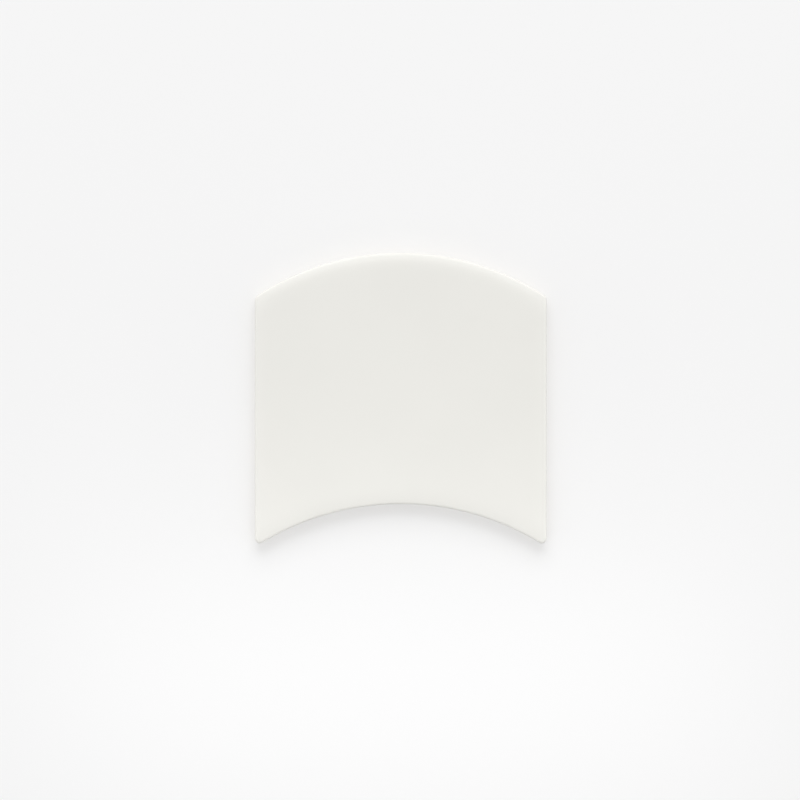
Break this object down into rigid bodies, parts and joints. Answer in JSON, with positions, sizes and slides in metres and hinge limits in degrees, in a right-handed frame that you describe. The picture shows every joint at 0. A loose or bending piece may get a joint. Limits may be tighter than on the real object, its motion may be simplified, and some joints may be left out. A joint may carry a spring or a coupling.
{
  "type": "ceramic wall tile",
  "caption": "Glazed ceramic wall tile with an arched upper end, straight sides and a hollow lower end that nests on the arch of the next tile.",
  "frame": {"origin": "middle of the tile's box across its width and length, on the lands of the keyed back", "axes": "+Z out of the glazed face, +Y towards the arched end, X across between the straight sides"},
  "size_m": [0.12, 0.1196, 0.0085],
  "materials": {
    "glazed_ceramic": "glossy off-white glaze over a pale fired body, bare on the keyed back"
  },
  "bodies": {
    "root": {"tile": "glazed_ceramic"}
  },
  "joints": []
}
